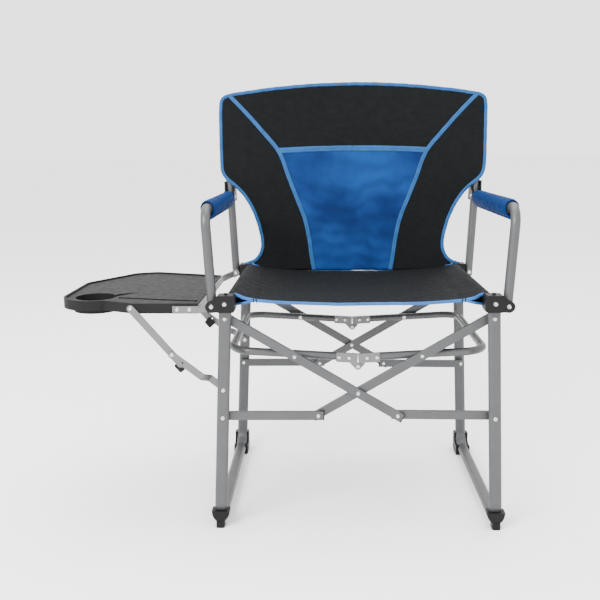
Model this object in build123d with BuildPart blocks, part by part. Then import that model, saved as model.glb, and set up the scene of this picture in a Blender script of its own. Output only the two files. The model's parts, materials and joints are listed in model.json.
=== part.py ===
from build123d import *
import os
from math import atan2, cos, degrees, hypot, radians, sin, tan

# Folding camp chair with a drop-down side table. Millimetres, +Z up, +Y towards the back.
# Plain coordinates below are counted from the chair's middle plane, the front legs and the floor.
MID_X = 140.4
FRONT_Y = -221.8
DEPTH = 430.0

SIDES = {"left": -1, "right": 1}
ROWS = ("front", "rear")

# Side frames: one flat-oval tube each, splayed outwards towards the floor when open
LEG_W = 25.0
LEG_D = 14.0
LEG_WALL = 1.2
LEG_SPLAY = 2.5
FRAME_RAIL_Z = 17.0
FRAME_BEND = 34.0
LEG_TOP_Z = 475.0

# Scissor linkage: bars cross at the middle, links tie their lower ends to the legs
OPEN_ANGLE = 30.6
FOLDED_ANGLE = 80.0
BAR_UPPER = 303.0
BAR_LOWER = 92.0
CROSS_Z = 280.0
BAR_W = 18.0
BAR_T = 8.0
BAR_WALL = 1.2
BAR_END = 10.0
NEAR_LAYER = (7.5, 7.5 + BAR_T)
FAR_LAYER = (16.0, 16.0 + BAR_T)

# Over-centre seat brace: two U-shaped tubes hinged to the bars and to each other
BRACE_R = 8.0
BRACE_Y = 35.0
BRACE_MID_Z = 347.5
BRACE_SLOPE = 3.2
BRACE_SIDE_X = 254.0
BRACE_BEND = 42.0
BRACE_PIVOT_Z = 331.0
PLATE_T = 2.5
PLATE_START = 0.8
PLATE_END = 43.5
HINGE_PINS = (17.8, 37.7)
LUG_R = 6.9

# Both hinge plates face the front; the right one's eye steps back below the tube
PLATE_LAYERS = {"front": (24.3, 24.3 + PLATE_T), "rear": (43.2, 43.2 + PLATE_T)}
EYE_LAYERS = {"front": (26.9, 26.9 + PLATE_T), "rear": (43.1 - PLATE_T, 43.1)}

# Upper frames: arm tube and back post on one pivot line at the ears, leaning outwards when open
EAR_X = 285.0
EAR_Z = 460.0
EAR_R = 11.5
LEAN = 3.2
TUBE_R = 9.5
TUBE_WALL = 1.2
ARM_RISE = 186.0
ARM_BEND = 34.0
POST_RISE = 402.0
TUBE_TAIL = 9.0
RECLINE = 3.0
SADDLE_T = 3.5
PAD_HALF_W = 15.0
PAD_HALF_H = 22.0
PAD_SPAN = (40.0, 396.0)

# Corner brackets and seat rails
BLOCK_X = 258.5
BLOCK_Z = 465.0
BLOCK_W = 38.0
BLOCK_H = 33.0
BLOCK_FRONT = 17.0
BLOCK_BACK = 16.0
EAR_T = 3.8
RAIL_X = 249.0
RAIL_Z = 469.0
RAIL_START = 8.0

# Fabric, as plain solids
CLOTH_T = 2.5
BACK_AHEAD = 11.15
SLEEVE_T = 1.6
SLEEVE_GAP = 0.4
SEAT_MID_Z = 461.0
SEAT_EDGE_Y = 4.0
SEAT_SLEEVE_Y = 17.0

# Side table
TRAY_TOP = 466.0
TRAY_BOTTOM = 446.0
TRAY_FRONT = -10.0
TRAY_INNER_X = -311.0
TRAY_BACK = 342.0
TRAY_WALL = 3.0
TRAY_RIM = 5.0
TRAY_RECESS = 3.0
TRAY_PLATE = 4.0
CUP_X = -535.0
CUP_Y = 78.0
CUP_R = 41.0
CUP_FLOOR = 436.0
TIP_R = 64.0
HOLDER_X = -443.0
HOLDER_Z = 456.0
KNEE_X = -364.7
KNEE_Z = 364.6
STRUT_Z = 290.0
STRIP_T = 3.0
LINK_W = 14.0
REAR_HOLDER_Y = 396.2
REAR_STRAP_Y = 413.0

# Rivets and running clearances
RIVET_R = 3.0
HEAD_R = 4.7
HEAD_H = 2.0
PLAY = 0.06

# ---------------------------------------------------------------- linkage geometry
splay = radians(LEG_SPLAY)
opened = radians(OPEN_ANGLE)
closed = radians(FOLDED_ANGLE)
slope = radians(BRACE_SLOPE)

TOP_X = BAR_UPPER * cos(opened)
TOP_Z = CROSS_Z + BAR_UPPER * sin(opened)
END_X = BAR_LOWER * cos(opened)
END_Z = CROSS_Z - BAR_LOWER * sin(opened)

# The link has one length both open and folded, which sets how far its leg pin is below the bar's
open_run = (BAR_UPPER - BAR_LOWER) * cos(opened)
open_drop = (BAR_UPPER + BAR_LOWER) * sin(opened)
closed_run = (BAR_UPPER - BAR_LOWER) * cos(closed)
closed_drop = (BAR_UPPER + BAR_LOWER) * sin(closed)
PIN_GAP = (closed_run**2 + closed_drop**2 - open_run**2 - open_drop**2) / (
    2 * (open_run * sin(splay) - open_drop * cos(splay) + closed_drop)
)
LINK_LEN = hypot(closed_run, closed_drop - PIN_GAP)
LINK_X = TOP_X + PIN_GAP * sin(splay)
LINK_Z = TOP_Z - PIN_GAP * cos(splay)

# The brace tube meets the bar where the two centre lines cross
BRACE_PIN_X = (BRACE_MID_Z - CROSS_Z) / (tan(opened) - tan(slope))
BRACE_PIN_Z = CROSS_Z + BRACE_PIN_X * tan(opened)


def leg_x(z):
    """How far the leg's centre line stands from the middle plane at height z."""
    return TOP_X + (TOP_Z - z) * tan(splay)


# ---------------------------------------------------------------- planes
def facing(y, x=0.0, z=0.0, turn=0.0):
    """A plane seen from the front at depth y, with its local x turned anticlockwise."""
    origin = (MID_X + x, FRONT_Y + y, z)
    return Plane(origin=origin, x_dir=(cos(radians(turn)), 0, sin(radians(turn))), z_dir=(0, -1, 0))


def through(x, z):
    """A plane at the front legs whose normal points back, for pins that run from front to back."""
    return Plane(origin=(MID_X + x, FRONT_Y, z), x_dir=(1, 0, 0), z_dir=(0, 1, 0))


def level(z):
    """A horizontal plane at height z."""
    return Plane(origin=(MID_X, FRONT_Y, z), x_dir=(1, 0, 0), z_dir=(0, 0, 1))


def frame_plane(sign):
    """The plane of a side frame: local x runs back, local y runs up the leg from the bar's pin."""
    return Plane(
        origin=(MID_X + sign * TOP_X, FRONT_Y, TOP_Z),
        x_dir=(0, 1, 0),
        z_dir=(cos(splay), 0, sign * sin(splay)),
    )


def upper_plane(sign):
    """The plane of an arm and back post: local x runs back, local y runs up from the ears."""
    lean = radians(LEAN)
    return Plane(
        origin=(MID_X + sign * EAR_X, FRONT_Y, EAR_Z),
        x_dir=(0, 1, 0),
        z_dir=(cos(lean), 0, -sign * sin(lean)),
    )


def back_plane():
    """The reclined plane of the two back posts, seen from the front."""
    tilt = radians(RECLINE)
    return Plane(origin=(MID_X, FRONT_Y + DEPTH, EAR_Z), x_dir=(1, 0, 0), z_dir=(0, -cos(tilt), sin(tilt)))


def in_row(near, far, row):
    """The depths of a layer that is counted inwards from the front or the rear legs."""
    return (near, far) if row == "front" else (DEPTH - far, DEPTH - near)


# ---------------------------------------------------------------- shapes shared by several pieces
def bent_tube(plane, points, bend, width, depth, wall=0.0):
    """A round or flat-oval tube along points in a plane; with no wall it is a solid bar."""
    with BuildPart() as tube:
        with BuildLine(plane) as path:
            if len(points) > 2:
                FilletPolyline(*points, radius=bend)
            else:
                Line(*points)
        route = path.wire()
        with BuildSketch(Plane(origin=route @ 0, x_dir=plane.z_dir, z_dir=route % 0)):
            if width == depth:
                Circle(width / 2)
            else:
                SlotOverall(width, depth)
            if wall and width == depth:
                Circle(width / 2 - wall, mode=Mode.SUBTRACT)
            elif wall:
                SlotOverall(width - 2 * wall, depth - 2 * wall, mode=Mode.SUBTRACT)
        sweep(path=route)
    return tube.part


def pin_hole(plane, radius, start, end):
    """Cut a round hole along the plane's normal."""
    with BuildSketch(plane.offset(start)) as hole:
        Circle(radius)
    extrude(hole.sketch, amount=end - start, mode=Mode.SUBTRACT)


def rivet(plane, start, end, first_head=True, last_head=True):
    """A rivet along the plane's normal, with a raised head on each end that shows."""
    with BuildSketch(plane.offset(start)) as shank:
        Circle(RIVET_R)
    extrude(shank.sketch, amount=end - start)
    for shows, face, way in ((first_head, start, -1), (last_head, end, 1)):
        if shows:
            with BuildSketch(plane.offset(face)) as head:
                Circle(HEAD_R)
            extrude(head.sketch, amount=way * HEAD_H, taper=35)


def box_bar(x, z, turn, reach, layer, round_end):
    """A rectangular tube from just beyond (x, z) along its turned axis; reach is its far end."""
    depth = layer[1] - layer[0]
    with BuildPart() as bar:
        with BuildSketch(facing(layer[0], x, z, turn)):
            with BuildLine():
                start = -BAR_W / 2 if round_end else -BAR_END
                Polyline((0, BAR_W / 2), (reach, BAR_W / 2), (reach, -BAR_W / 2), (0, -BAR_W / 2))
                if round_end:
                    ThreePointArc((0, -BAR_W / 2), (start, 0), (0, BAR_W / 2))
                else:
                    Polyline((0, -BAR_W / 2), (start, -BAR_W / 2), (start, BAR_W / 2), (0, BAR_W / 2))
            make_face()
        extrude(amount=-depth)
        fillet(bar.edges().filter_by(GeomType.LINE).filter_by(
            lambda e: abs((e % 0).Y) < 0.1 and e.length > 2 * BAR_W), radius=1.2)
        inner = (reach + BAR_END, BAR_W - 2 * BAR_WALL)
        with BuildSketch(facing(layer[0] + BAR_WALL, x, z, turn)):
            with Locations((BAR_WALL + inner[0] / 2, 0)):
                Rectangle(*inner)
        extrude(amount=-(depth - 2 * BAR_WALL), mode=Mode.SUBTRACT)
    return bar.part


def save(piece, name):
    """Label a finished piece and write it."""
    piece.part.label = name
    export_step(piece.part, f"parts/{name}.step")


os.makedirs("parts", exist_ok=True)

# ---------------------------------------------------------------- side frames, feet and brackets
FLOOR_RUN = (FRAME_RAIL_Z - TOP_Z) / cos(splay)
LEG_TOP = (LEG_TOP_Z - TOP_Z) / cos(splay)
FRAME_PATH = [(0, LEG_TOP), (0, FLOOR_RUN), (DEPTH, FLOOR_RUN), (DEPTH, LEG_TOP)]

for side, sign in SIDES.items():
    envelope = bent_tube(frame_plane(sign), FRAME_PATH, FRAME_BEND, LEG_W, LEG_D)
    pins = [(TOP_X, TOP_Z), (LINK_X, LINK_Z), (leg_x(BLOCK_Z), BLOCK_Z)]
    if side == "left":
        pins.append((leg_x(STRUT_Z), STRUT_Z))

    with BuildPart() as frame:
        add(bent_tube(frame_plane(sign), FRAME_PATH, FRAME_BEND, LEG_W, LEG_D, LEG_WALL))
        for x, z in pins:
            for row in ROWS:
                pin_hole(through(sign * x, z), RIVET_R, *in_row(-LEG_D, LEG_D, row))
    save(frame, f"{side}_side_frame")

    with BuildPart() as front_foot:
        for z, width, depth in ((36.0, 37.0, 26.0), (22.0, 31.0, 25.0), (13.0, 17.0, 24.0)):
            with BuildSketch(level(z)):
                with Locations((sign * leg_x(z), 1.0)):
                    RectangleRounded(width, depth, 5.0)
        loft()
        with BuildSketch(level(0.0)):
            with Locations((sign * leg_x(8.0), 0.0)):
                RectangleRounded(17.0, 24.0, 4.0)
        extrude(amount=14.0)
        add(envelope, mode=Mode.SUBTRACT)
    save(front_foot, f"{side}_front_foot")

    with BuildPart() as rear_foot:
        side_on = Plane(origin=(MID_X + sign * leg_x(17.0), FRONT_Y, 0), x_dir=(0, 1, 0), z_dir=(1, 0, 0))
        with BuildSketch(side_on):
            with BuildLine():
                Polyline((392, 0), (436, 0))
                ThreePointArc((436, 0), (443.5, 3.5), (446, 12))
                Polyline((446, 12), (446, 46), (DEPTH - LEG_D / 2 + 2, 46), (DEPTH - LEG_D / 2 + 2, 30))
                Polyline((DEPTH - LEG_D / 2 + 2, 30), (416, 23), (392, 23), (392, 0))
            make_face()
        extrude(amount=LEG_W / 2 + 4.5, both=True)
        add(envelope, mode=Mode.SUBTRACT)
    save(rear_foot, f"{side}_rear_foot")

    for row in ROWS:
        with BuildPart() as bracket:
            y0, y1 = in_row(-BLOCK_FRONT, BLOCK_BACK, row)
            with BuildSketch(facing(y0, sign * BLOCK_X, BLOCK_Z)):
                RectangleRounded(BLOCK_W, BLOCK_H, 6.0)
            extrude(amount=-(y1 - y0))
            with BuildSketch(level(BLOCK_Z + BLOCK_H / 2 - 1)):
                with Locations((sign * BLOCK_X, 0 if row == "front" else DEPTH)):
                    Circle(3.5)
            extrude(amount=4.0)
            add(envelope, mode=Mode.SUBTRACT)
            y0, y1 = in_row(RAIL_START, BLOCK_BACK, row)
            with BuildSketch(facing(y0, sign * RAIL_X, RAIL_Z)):
                Circle(TUBE_R)
            extrude(amount=-(y1 - y0), mode=Mode.SUBTRACT)
            y0, y1 = in_row(LEG_D / 2, FAR_LAYER[1], row)
            with BuildSketch(facing(y0, sign * BLOCK_X, BLOCK_Z - BLOCK_H / 2)):
                Rectangle(BLOCK_W + 10, 10.0)
            extrude(amount=-(y1 - y0), mode=Mode.SUBTRACT)
            clear = 274.0
            y0, y1 = in_row(EAR_T - BLOCK_FRONT, BLOCK_BACK, row)
            with BuildSketch(facing(y0, sign * (clear + 20), BLOCK_Z)):
                Rectangle(40.0, BLOCK_H + 10)
            extrude(amount=-(y1 - y0), mode=Mode.SUBTRACT)
            y0, y1 = in_row(-BLOCK_FRONT, EAR_T - BLOCK_FRONT, row)
            with BuildSketch(facing(y0, sign * EAR_X, EAR_Z)) as ear:
                with Locations((0, 0), (-sign * 22, 2)):
                    Circle(EAR_R)
                make_hull()
            extrude(amount=-(y1 - y0))
            ear_pin = through(sign * EAR_X, EAR_Z)
            pin_hole(ear_pin, RIVET_R, *in_row(-BLOCK_FRONT, EAR_T - BLOCK_FRONT, row))
            block_pin = through(sign * leg_x(BLOCK_Z), BLOCK_Z)
            pin_hole(block_pin, RIVET_R, *in_row(-BLOCK_FRONT, LEG_D / 2, row))
        save(bracket, f"{side}_{row}_bracket")

    with BuildPart() as rail:
        with BuildSketch(facing(RAIL_START, sign * RAIL_X, RAIL_Z)):
            Circle(TUBE_R)
            Circle(TUBE_R - TUBE_WALL, mode=Mode.SUBTRACT)
        extrude(amount=-(DEPTH - 2 * RAIL_START))
    save(rail, f"{side}_seat_rail")

    far_side = FAR_LAYER[1] if side == "right" else NEAR_LAYER[1]
    with BuildPart() as frame_rivets:
        for row in ROWS:
            for x, z in ((TOP_X, TOP_Z), (LINK_X, LINK_Z)):
                rivet(through(sign * x, z), *in_row(-LEG_D / 2, far_side, row))
            ear_end = TUBE_R + 0.1 if row == "front" else TUBE_R + 0.7
            if side == "left" and row == "rear":
                ear_end = DEPTH - REAR_STRAP_Y + 0.1
            rivet(through(sign * EAR_X, EAR_Z), *in_row(-BLOCK_FRONT, ear_end, row))
            block_pin = through(sign * leg_x(BLOCK_Z), BLOCK_Z)
            shows = row == "front"
            rivet(block_pin, *in_row(-BLOCK_FRONT, LEG_D / 2, row), first_head=shows, last_head=not shows)
            if side == "left":
                rivet(through(-leg_x(STRUT_Z), STRUT_Z), *in_row(-LEG_D / 2, 10.4, row))
    save(frame_rivets, f"{side}_frame_rivets")

with BuildPart() as spacers:
    for row in ROWS:
        for x, z in ((TOP_X, TOP_Z), (LINK_X, LINK_Z)):
            y0, y1 = in_row(LEG_D / 2 + 0.2, FAR_LAYER[0] - 0.2, row)
            with BuildSketch(facing(y0, x, z)):
                Circle(6.0)
                Circle(RIVET_R, mode=Mode.SUBTRACT)
            extrude(amount=-(y1 - y0))
save(spacers, "right_leg_spacers")

# ---------------------------------------------------------------- scissor bars and links
BAR_LAYERS = {"left": NEAR_LAYER, "right": FAR_LAYER}
LINK_TURN = degrees(atan2(END_Z - LINK_Z, LINK_X - END_X))

for side, sign in SIDES.items():
    # Bars and links start at the leg: on the right the local axis points the other way
    bar_turn = -OPEN_ANGLE if side == "left" else 180 + OPEN_ANGLE
    link_turn = LINK_TURN if side == "left" else 180 - LINK_TURN
    bar_len = BAR_UPPER + BAR_LOWER
    brace_at = BAR_UPPER - BRACE_PIN_X / cos(opened)
    for row in ROWS:
        layer = in_row(*BAR_LAYERS[side], row)
        span = in_row(BAR_LAYERS[side][0] - 1, BAR_LAYERS[side][1] + 1, row)
        with BuildPart() as bar:
            add(box_bar(sign * TOP_X, TOP_Z, bar_turn, bar_len + BAR_END, layer, True))
            pin_hole(through(sign * TOP_X, TOP_Z), RIVET_R + PLAY, *span)
            pin_hole(through(sign * BRACE_PIN_X, BRACE_PIN_Z), RIVET_R, *span)
            pin_hole(through(0, CROSS_Z), RIVET_R if side == "left" else RIVET_R + PLAY, *span)
            pin_hole(through(-sign * END_X, END_Z), RIVET_R, *span)
        save(bar, f"{row}_{side}_bar")
        with BuildPart() as link:
            add(box_bar(sign * LINK_X, LINK_Z, link_turn, LINK_LEN + BAR_END, layer, True))
            pin_hole(through(sign * LINK_X, LINK_Z), RIVET_R + PLAY, *span)
            pin_hole(through(sign * END_X, END_Z), RIVET_R, *span)
        save(link, f"{row}_{side}_link")

    for name, x, z, turn, length in (
        ("bar", TOP_X, TOP_Z, bar_turn, bar_len),
        ("link", LINK_X, LINK_Z, link_turn, LINK_LEN),
    ):
        with BuildPart() as plugs:
            for row in ROWS:
                y0, y1 = in_row(*BAR_LAYERS[side], row)
                with BuildSketch(facing(y0 + BAR_WALL, sign * x, z, turn)):
                    with Locations((length + BAR_END - 2.0, 0)):
                        Rectangle(4.0, BAR_W - 2 * BAR_WALL)
                extrude(amount=-(BAR_T - 2 * BAR_WALL))
                with BuildSketch(facing(y0, sign * x, z, turn)):
                    with Locations((length + BAR_END + 1.0, 0)):
                        Rectangle(2.0, BAR_W)
                extrude(amount=-BAR_T)
        save(plugs, f"{side}_{name}_plugs")

    # The pins at the bars' lower ends are in two halves that meet between bar and link
    with BuildPart() as bar_rivets:
        for row in ROWS:
            front = row == "front"
            if side == "left":
                rivet(through(0, CROSS_Z), *in_row(NEAR_LAYER[0], FAR_LAYER[1], row))
                rivet(through(-BRACE_PIN_X, BRACE_PIN_Z), *in_row(NEAR_LAYER[0], BRACE_Y + BRACE_R, row))
                y0, y1 = in_row(NEAR_LAYER[1] + 0.1, BRACE_Y - BRACE_R - 0.1, row)
                with BuildSketch(facing(y0, -BRACE_PIN_X, BRACE_PIN_Z)):
                    Circle(6.0)
                extrude(amount=-(y1 - y0))
                y0, y1 = in_row(NEAR_LAYER[0], NEAR_LAYER[1] + 0.1, row)
                rivet(through(END_X, END_Z), y0, y1, first_head=front, last_head=not front)
            else:
                y0, y1 = in_row(FAR_LAYER[0] - 0.1, FAR_LAYER[1], row)
                rivet(through(-END_X, END_Z), y0, y1, first_head=not front, last_head=front)
                y0, y1 = in_row(FAR_LAYER[0], FAR_LAYER[1] + 0.3, row)
                rivet(through(BRACE_PIN_X, BRACE_PIN_Z), y0, y1, first_head=front, last_head=not front)
    save(bar_rivets, f"{side}_bar_rivets")

    with BuildPart() as link_rivets:
        for row in ROWS:
            front = row == "front"
            if side == "left":
                y0, y1 = in_row(NEAR_LAYER[0], NEAR_LAYER[1] + 0.1, row)
                rivet(through(-END_X, END_Z), y0, y1, first_head=front, last_head=not front)
            else:
                y0, y1 = in_row(FAR_LAYER[0] - 0.1, FAR_LAYER[1], row)
                rivet(through(END_X, END_Z), y0, y1, first_head=not front, last_head=front)
    save(link_rivets, f"{side}_link_rivets")

# ---------------------------------------------------------------- seat brace
for side, sign in SIDES.items():
    brace_plane = Plane(
        origin=(MID_X, FRONT_Y, BRACE_MID_Z),
        x_dir=(sign * cos(slope), 0, sin(slope)),
        z_dir=(-sign * sin(slope), 0, cos(slope)),
    )
    flip = 1 if side == "right" else -1
    run = BRACE_SIDE_X / cos(slope)
    near = flip * BRACE_Y
    far = flip * (DEPTH - BRACE_Y)
    with BuildPart() as brace:
        loop = [(0.7, near), (run, near), (run, far), (0.7, far)]
        add(bent_tube(brace_plane, loop, BRACE_BEND, 2 * BRACE_R, 2 * BRACE_R, TUBE_WALL))
        for row in ROWS:
            span = in_row(BRACE_Y - BRACE_R - 1, BRACE_Y + BRACE_R + 1, row)
            play = PLAY if side == "left" else 0.0
            pin_hole(through(sign * BRACE_PIN_X, BRACE_PIN_Z), RIVET_R + play, *span)
            for x in HINGE_PINS:
                pin_hole(through(sign * x, BRACE_MID_Z + x * tan(slope)), RIVET_R, *span)
    save(brace, f"{side}_brace_tube")

    with BuildPart() as plates:
        for row in ROWS:
            plate = in_row(*PLATE_LAYERS[row], row)
            eye = in_row(*EYE_LAYERS[row], row)
            both = (min(plate[0], eye[0]), max(plate[1], eye[1]))
            turn = BRACE_SLOPE if side == "right" else 180 - BRACE_SLOPE
            with BuildSketch(facing(plate[0], 0, BRACE_MID_Z, turn)):
                with Locations(((PLATE_START + PLATE_END) / 2, 0)):
                    RectangleRounded(PLATE_END - PLATE_START, 2 * BRACE_R + 3, 2.0)
            extrude(amount=-PLATE_T)
            if side == "left":
                with BuildSketch(facing(plate[0], 0, BRACE_PIVOT_Z)):
                    Circle(LUG_R)
                    with Locations((-12.0, 10.0)):
                        Rectangle(9.0, 6.0)
                    make_hull()
                extrude(amount=-PLATE_T)
            else:
                with BuildSketch(facing(eye[0], 0, BRACE_PIVOT_Z)):
                    Circle(LUG_R)
                    with Locations((9.0, 5.5)):
                        Rectangle(9.0, 4.0)
                    make_hull()
                extrude(amount=-PLATE_T)
                with BuildSketch(facing(both[0], 11.0, BRACE_PIVOT_Z + 5.6)):
                    Rectangle(5.0, 4.2)
                extrude(amount=-(both[1] - both[0]))
                with BuildSketch(facing(plate[0], 11.0, BRACE_PIVOT_Z + 8.0)):
                    Rectangle(5.0, 9.0)
                extrude(amount=-PLATE_T)
            bore_r = RIVET_R if side == "left" else RIVET_R + PLAY
            pin_hole(through(0, BRACE_PIVOT_Z), bore_r, both[0] - 1, both[1] + 1)
            for x in HINGE_PINS:
                pin_hole(through(sign * x, BRACE_MID_Z + x * tan(slope)), RIVET_R, both[0] - 1, both[1] + 1)
    save(plates, f"{side}_brace_hinges")

    with BuildPart() as brace_rivets:
        for row in ROWS:
            front = row == "front"
            near = min(PLATE_LAYERS[row][0], BRACE_Y - BRACE_R)
            far = max(PLATE_LAYERS[row][1], BRACE_Y + BRACE_R)
            for x in HINGE_PINS:
                rivet(through(sign * x, BRACE_MID_Z + x * tan(slope)), *in_row(near, far, row))
            if side == "left":
                near = min(PLATE_LAYERS[row][0], EYE_LAYERS[row][0])
                far = max(PLATE_LAYERS[row][1], EYE_LAYERS[row][1])
                rivet(through(0, BRACE_PIVOT_Z), *in_row(near, far, row))
            else:
                near = FAR_LAYER[1] + 0.5
                far = BRACE_Y + BRACE_R
                span = in_row(near, far, row)
                rivet(through(BRACE_PIN_X, BRACE_PIN_Z), *span, first_head=not front, last_head=front)
    save(brace_rivets, f"{side}_brace_rivets")

# ---------------------------------------------------------------- arms and back posts
tilt = radians(RECLINE)
SADDLE_PINS = [(412.0, ARM_RISE), (DEPTH + 205 * tan(tilt), 205.0)]

for side, sign in SIDES.items():
    plane = upper_plane(sign)
    foot = (DEPTH - TUBE_TAIL * tan(tilt), -TUBE_TAIL)
    head = (DEPTH + POST_RISE * tan(tilt), POST_RISE)
    arm_end = DEPTH + ARM_RISE * tan(tilt) - TUBE_R - 2
    arm_points = [(0, -TUBE_TAIL), (0, ARM_RISE), (arm_end, ARM_RISE)]
    ear_pin = through(sign * EAR_X, EAR_Z)

    with BuildPart() as arm:
        add(bent_tube(plane, arm_points, ARM_BEND, 2 * TUBE_R, 2 * TUBE_R, TUBE_WALL))
        pin_hole(ear_pin, RIVET_R + PLAY, -TUBE_R - 1, TUBE_R + 1)
        across = Plane(origin=plane.from_local_coords((*SADDLE_PINS[0], 0)), z_dir=plane.z_dir)
        pin_hole(across, RIVET_R, -TUBE_R - 1, TUBE_R + 1)
    save(arm, f"{side}_arm_tube")

    with BuildPart() as post:
        add(bent_tube(plane, [foot, head], 0, 2 * TUBE_R, 2 * TUBE_R, TUBE_WALL))
        pin_hole(ear_pin, RIVET_R + PLAY, DEPTH - TUBE_R - 1, DEPTH + TUBE_R + 1)
        across = Plane(origin=plane.from_local_coords((*SADDLE_PINS[1], 0)), z_dir=plane.z_dir)
        pin_hole(across, RIVET_R, -TUBE_R - 1, TUBE_R + 1)
    save(post, f"{side}_back_post")

    with BuildPart() as saddle:
        outline = [(400, 175), (400, 197), (424, 200), (431, 222), (456, 222), (454, 175), (400, 175)]
        for start in (TUBE_R, -TUBE_R - SADDLE_T):
            with BuildSketch(plane.offset(start)):
                with BuildLine():
                    Polyline(*outline)
                make_face()
            extrude(amount=SADDLE_T)
        with BuildSketch(plane.offset(-TUBE_R - SADDLE_T)):
            with BuildLine():
                Polyline((452, 175), (453, 222), (456, 222), (454, 175), (452, 175))
            make_face()
        extrude(amount=2 * TUBE_R + 2 * SADDLE_T)
        for x, y in SADDLE_PINS:
            across = Plane(origin=plane.from_local_coords((x, y, 0)), z_dir=plane.z_dir)
            pin_hole(across, RIVET_R, -TUBE_R - SADDLE_T - 1, TUBE_R + SADDLE_T + 1)
    save(saddle, f"{side}_saddle")

    with BuildPart() as pad:
        section = Plane(
            origin=plane.from_local_coords((PAD_SPAN[0], ARM_RISE, 0)), x_dir=plane.z_dir, z_dir=(0, 1, 0)
        )
        with BuildSketch(section):
            Ellipse(PAD_HALF_W, PAD_HALF_H)
            Circle(TUBE_R + 0.2, mode=Mode.SUBTRACT)
        extrude(amount=PAD_SPAN[1] - PAD_SPAN[0])
    save(pad, f"{side}_arm_pad")

    with BuildPart() as upper_rivets:
        for x, y in SADDLE_PINS:
            across = Plane(origin=plane.from_local_coords((x, y, 0)), z_dir=plane.z_dir)
            rivet(across, -TUBE_R - SADDLE_T, TUBE_R + SADDLE_T)
    save(upper_rivets, f"{side}_saddle_rivets")

# ---------------------------------------------------------------- seat and back cloth, as plain solids
SLEEVE_R = TUBE_R + SLEEVE_GAP

for side, sign in SIDES.items():
    with BuildPart() as seat:
        with BuildSketch(facing(SEAT_SLEEVE_Y, sign * RAIL_X, RAIL_Z)):
            Circle(SLEEVE_R + SLEEVE_T)
            with BuildLine():
                inward = -sign
                low = SEAT_MID_Z - RAIL_Z
                Polyline(
                    (inward * 4, SLEEVE_R + SLEEVE_T), (inward * 46, 2.0), (inward * (RAIL_X - 0.3), low),
                    (inward * (RAIL_X - 0.3), low - CLOTH_T), (inward * 46, -CLOTH_T),
                    (inward * 4, -SLEEVE_R), (inward * 4, SLEEVE_R + SLEEVE_T),
                )
            make_face()
            Circle(SLEEVE_R, mode=Mode.SUBTRACT)
        extrude(amount=-(DEPTH - 2 * SEAT_SLEEVE_Y))
        for row in ROWS:
            y0, y1 = in_row(SEAT_EDGE_Y, SEAT_SLEEVE_Y, row)
            with BuildSketch(facing(y0, sign * RAIL_X, RAIL_Z)):
                with BuildLine():
                    Polyline(
                        (inward * 14, 8.2), (inward * 46, 2.0), (inward * (RAIL_X - 0.3), low),
                        (inward * (RAIL_X - 0.3), low - CLOTH_T), (inward * 46, -CLOTH_T), (inward * 14, 6.0),
                        (inward * 14, 8.2),
                    )
                make_face()
            extrude(amount=-(y1 - y0))
    save(seat, f"seat_cloth_{side}")

    with BuildPart() as back:
        plane = back_plane()
        with BuildSketch(plane.offset(BACK_AHEAD - CLOTH_T / 2)):
            with BuildLine():
                Line((sign * 0.3, 6), (sign * 0.3, 452))
                ThreePointArc((sign * 0.3, 452), (sign * 150, 446), (sign * 298, 427))
                Polyline((sign * 298, 427), (sign * 317, 408), (sign * 318.5, 262), (sign * 281, 224))
                Spline(
                    (sign * 281, 224), (sign * 262, 193), (sign * 235, 137), (sign * 222.5, 81),
                    (sign * 234, 40), (sign * 260, 28),
                )
                Polyline(
                    (sign * 260, 28), (sign * 236, 27), (sign * 232, 21), (sign * 200, 16), (sign * 0.3, 6),
                )
            make_face()
        extrude(amount=CLOTH_T)
        lean = radians(LEAN)
        low_v = 236.0
        high_v = POST_RISE + 4
        post_axis = Plane(
            origin=plane.from_local_coords((sign * (EAR_X + low_v * tan(lean)), low_v, 0)),
            z_dir=plane.from_local_coords((sign * tan(lean), 1, 0)) - plane.origin,
        )
        with BuildSketch(post_axis):
            Circle(SLEEVE_R + SLEEVE_T)
        extrude(amount=high_v - low_v)
        with BuildSketch(post_axis.offset(-low_v)):
            Circle(SLEEVE_R)
        extrude(amount=POST_RISE + 2, mode=Mode.SUBTRACT)
    save(back, f"back_cloth_{side}")

# ---------------------------------------------------------------- side table
def tray_outline(z, inset=0.0):
    """The tray's plan shape at height z, drawn in from its edge by inset."""
    turn = radians(-62)
    joins = (CUP_X + TIP_R * cos(turn), CUP_Y + TIP_R * sin(turn))
    round_at = (CUP_X + TIP_R * cos(radians(-135)), CUP_Y + TIP_R * sin(radians(-135)))
    with BuildSketch(level(z)) as outline:
        with BuildLine():
            Polyline((TRAY_INNER_X, TRAY_BACK), (TRAY_INNER_X, TRAY_FRONT), (-440, TRAY_FRONT), joins)
            ThreePointArc(joins, round_at, (CUP_X - TIP_R, CUP_Y))
            far_side = [(CUP_X - TIP_R, CUP_Y), (-600, 240), (-520, 378), (-472, 396)]
            Polyline(*far_side, (TRAY_INNER_X, TRAY_BACK))
        make_face()
        outer = [v for v in outline.vertices() if v.X < -460 and v.Y > 200]
        fillet(outer, radius=22.0)
        if inset:
            offset(amount=-inset, kind=Kind.INTERSECTION)
    return outline.sketch


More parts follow.
